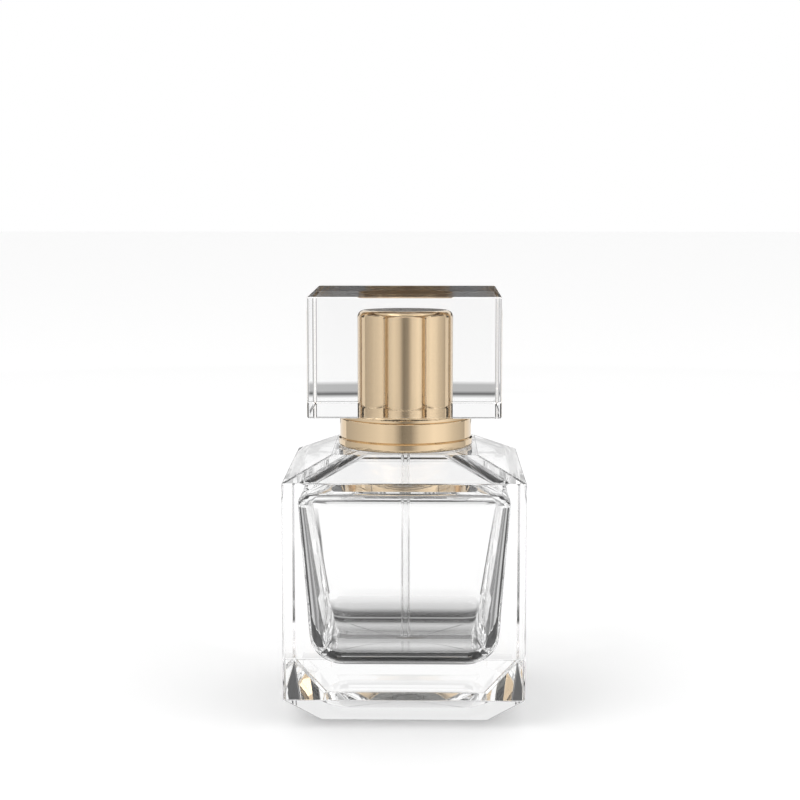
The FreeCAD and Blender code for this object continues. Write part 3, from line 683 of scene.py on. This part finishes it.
def add_floor(context):
    """Pale studio paper, matt, with a faint glow that keeps it near white and leaves the shadow."""
    bpy.ops.mesh.primitive_plane_add(size=FLOOR_WIDTH, location=(0, 0, FLOOR_Z))
    floor = context.object
    floor.name = "floor"
    material, tree, output = start_material("studio_floor_paper")
    sheet = add_node(tree, "ShaderNodeBsdfPrincipled", {
        "Base Color": rgba(context.scene.bottle_colours.floor), "Roughness": 0.9, "Emission Color": WHITE,
        "Emission Strength": FLOOR_GLOW})
    tree.links.new(sheet.outputs["BSDF"], output.inputs["Surface"])
    floor.data.materials.append(material)


def add_lights(scene):
    """Two soft square lights, in front of the bottle on the left and on the right."""
    stage = scene.bottle_stage
    for name, place, tilt, turn, power in (
        ("key_light", (-0.5, -0.5, 0.7), 50, -45, stage.key_power),
        ("fill_light", (0.6, -0.4, 0.5), 55, 55, stage.fill_power),
    ):
        lamp = bpy.data.objects.new(name, bpy.data.lights.new(name, "AREA"))
        lamp.data.size = stage.light_size
        lamp.data.energy = power
        lamp.location = place
        lamp.rotation_euler = (math.radians(tilt), 0, math.radians(turn))
        scene.collection.objects.link(lamp)


def add_side_cards(paper, name, side):
    """The glowing cards on one side of the bottle, painted reflections and painted shade: on the floor, and
    standing behind it.
    """
    near = (0.024, FLOOR_CARD_Z), (0.058, FLOOR_CARD_Z)
    far = (0.058, FLOOR_CARD_Z), (0.105, FLOOR_CARD_Z), (0.125, FLOOR_CARD_Z)
    line = (0.130, FLOOR_CARD_Z), (0.150, FLOOR_CARD_Z), (0.220, FLOOR_CARD_Z), (0.240, FLOOR_CARD_Z)
    # Painted shade round the foot: the wing card is dark next to the foot and pales outwards, where the
    # shadow beside the foot lies.
    studio_card(f"{name}_wing_shadow_card", paper, rings((side * 20, side * 48), [
        (0.026, FLOOR_CARD_Z, DARK), (0.033, FLOOR_CARD_Z, 0.1), (0.038, FLOOR_CARD_Z, 0.5),
        (0.046, FLOOR_CARD_Z, PALE)]))
    studio_card(f"{name}_near_card", paper, rays(near, [
        (side * bearing, DARK, DARK) for bearing in (48, 64, 80, 96, 112, 128)]))
    studio_card(f"{name}_far_card", paper, rays(far, [
        (side * bearing, shade, shade, PALE) for bearing, shade in (
            (34, PALE), (37, DARK), (55, DARK), (74, DARK), (80, 0.6), (95, 0.6), (101, 0.2), (110, 0.2),
            (116, 0.45), (128, 0.45))]))
    studio_card(f"{name}_line_card", paper, rays(line, [
        (side * bearing, PALE, shade, shade, PALE) for bearing, shade in (
            (60, PALE), (63, DARK), (77, DARK), (80, PALE))]))
    studio_card(f"{name}_rear_flag", paper, rings((side * 8, side * 45), [
        (0.5, 0.089, BLACK), (0.5, 0.64, BLACK)]))
    studio_card(f"{name}_low_flag", paper, rings((side * 11, side * 27), [
        (0.5, 0.042, 0.08), (0.5, 0.0635, 0.08)]))
    # The camera stands a little to the right, so the gap behind the cap lies a little to the left.
    inner_bearing = 5.5 if side < 0 else 4
    studio_card(f"{name}_cap_card", paper, rings((side * inner_bearing, side * 22), [
        (0.38, FLOOR_CARD_Z, 0.45), (0.6, FLOOR_CARD_Z, 0.45), (0.6, 0.05, 0.45)]))


def add_cards():
    """Dark and pale glowing cards, painted reflections that draw the edges of the glass and the bands on the
    gold, and painted shade under the foot.
    """
    # The cards glow as painted reflections in the glass and gold; they light nothing and cast no shadow.
    paper = reflection_card_glow()
    # Painted shade under the foot: dark bars stand in for the shadow there, with a pale bar in the middle
    # where light comes down through the glass.
    studio_card("foot_shadow_card", paper, bars(0.021, FOOT_SHADOW_CARD_Z, [
        (-0.020, 0.0), (-0.010, 0.0), (0.000, 0.7), (0.008, 0.2), (0.014, 0.05), (0.018, 0.5), (0.022, 0.0),
        (0.027, 0.0), (0.031, 0.6), (0.045, PALE)]))
    for side, name in ((-1, "left"), (1, "right")):
        add_side_cards(paper, name, side)
    # Painted reflections for the gold on a card round the front: bands brighter than white are painted
    # highlights, and the dark band towards the camera is a painted dark reflection.
    studio_card("wrap_highlight_card", paper, rays(((0.28, 0.003), (0.28, 0.25)), [
        (bearing, shade, shade) for bearing, shade in (
            (-55, 0.6), (-95, 0.8), (-140, 1.1), (-160, 0.9), (-175, 0.3), (-190, 0.4), (-205, 1.0),
            (-230, 1.3), (-250, 1.2), (-270, 0.9), (-305, 0.6))]))
    studio_card("rear_flag", paper, rings((-7.5, 7.5), [(0.6, 0.06, BLACK), (0.6, 0.122, BLACK)]))
    studio_card("high_flag", paper, rings((-8, 8), [(0.5, 0.36, BLACK), (0.5, 0.64, BLACK)]))
    studio_card("overhead_flag", paper, rings((-30, 30), [
        (0.5, 0.64, 0.3), (0.25, 0.85, 0.3), (0.1, 0.9, 0.3)]))
    studio_card("rear_strip", paper, rings((-7, 7), [
        (0.470, FLOOR_CARD_Z, PALE), (0.484, FLOOR_CARD_Z, 0.1), (0.496, FLOOR_CARD_Z, 0.5),
        (0.520, FLOOR_CARD_Z, 0.5), (0.535, FLOOR_CARD_Z, PALE)]))


class BOTTLE_OT_stage(bpy.types.Operator):
    """Set up the camera, the room, the floor, the lights and the cards"""

    bl_idname = "bottle.stage"
    bl_label = "Stage"

    def execute(self, context):
        scene = context.scene
        scene.view_settings.view_transform = "Standard"
        # Light crosses many faces of thick glass before it leaves.
        scene.cycles.max_bounces = 32
        scene.cycles.glossy_bounces = 24
        scene.cycles.transmission_bounces = 32
        add_camera(scene)
        add_room(scene)
        add_floor(context)
        add_lights(scene)
        add_cards()
        return {"FINISHED"}


class BOTTLE_PT_panel(bpy.types.Panel):
    """The bottle's builders in the sidebar"""

    bl_idname = "BOTTLE_PT_panel"
    bl_label = "Spray bottle"
    bl_space_type = "VIEW_3D"
    bl_region_type = "UI"
    bl_category = "Bottle"

    def draw(self, context):
        for operator in OPERATORS:
            self.layout.operator(operator.bl_idname)


GROUPS = {
    "bottle_glass": BottleGlassSizes,
    "bottle_cap": BottleCapSizes,
    "bottle_pump": BottlePumpSizes,
    "bottle_colours": BottleColours,
    "bottle_stage": BottleStage,
}
OPERATORS = (BOTTLE_OT_glass, BOTTLE_OT_cap_block, BOTTLE_OT_gold, BOTTLE_OT_pump, BOTTLE_OT_stage)


def register():
    """Add the classes, and the sizes and colours to the scene."""
    for item in (*GROUPS.values(), *OPERATORS, BOTTLE_PT_panel):
        bpy.utils.register_class(item)
    for name, group in GROUPS.items():
        setattr(bpy.types.Scene, name, PointerProperty(type=group))


def unregister():
    """Take away what register added."""
    for name in GROUPS:
        delattr(bpy.types.Scene, name)
    for item in reversed((*GROUPS.values(), *OPERATORS, BOTTLE_PT_panel)):
        bpy.utils.unregister_class(item)


def main():
    register()
    bpy.ops.bottle.glass()
    bpy.ops.bottle.cap_block()
    bpy.ops.bottle.gold()
    bpy.ops.bottle.pump()
    bpy.ops.bottle.stage()


if __name__ == "__main__":
    main()
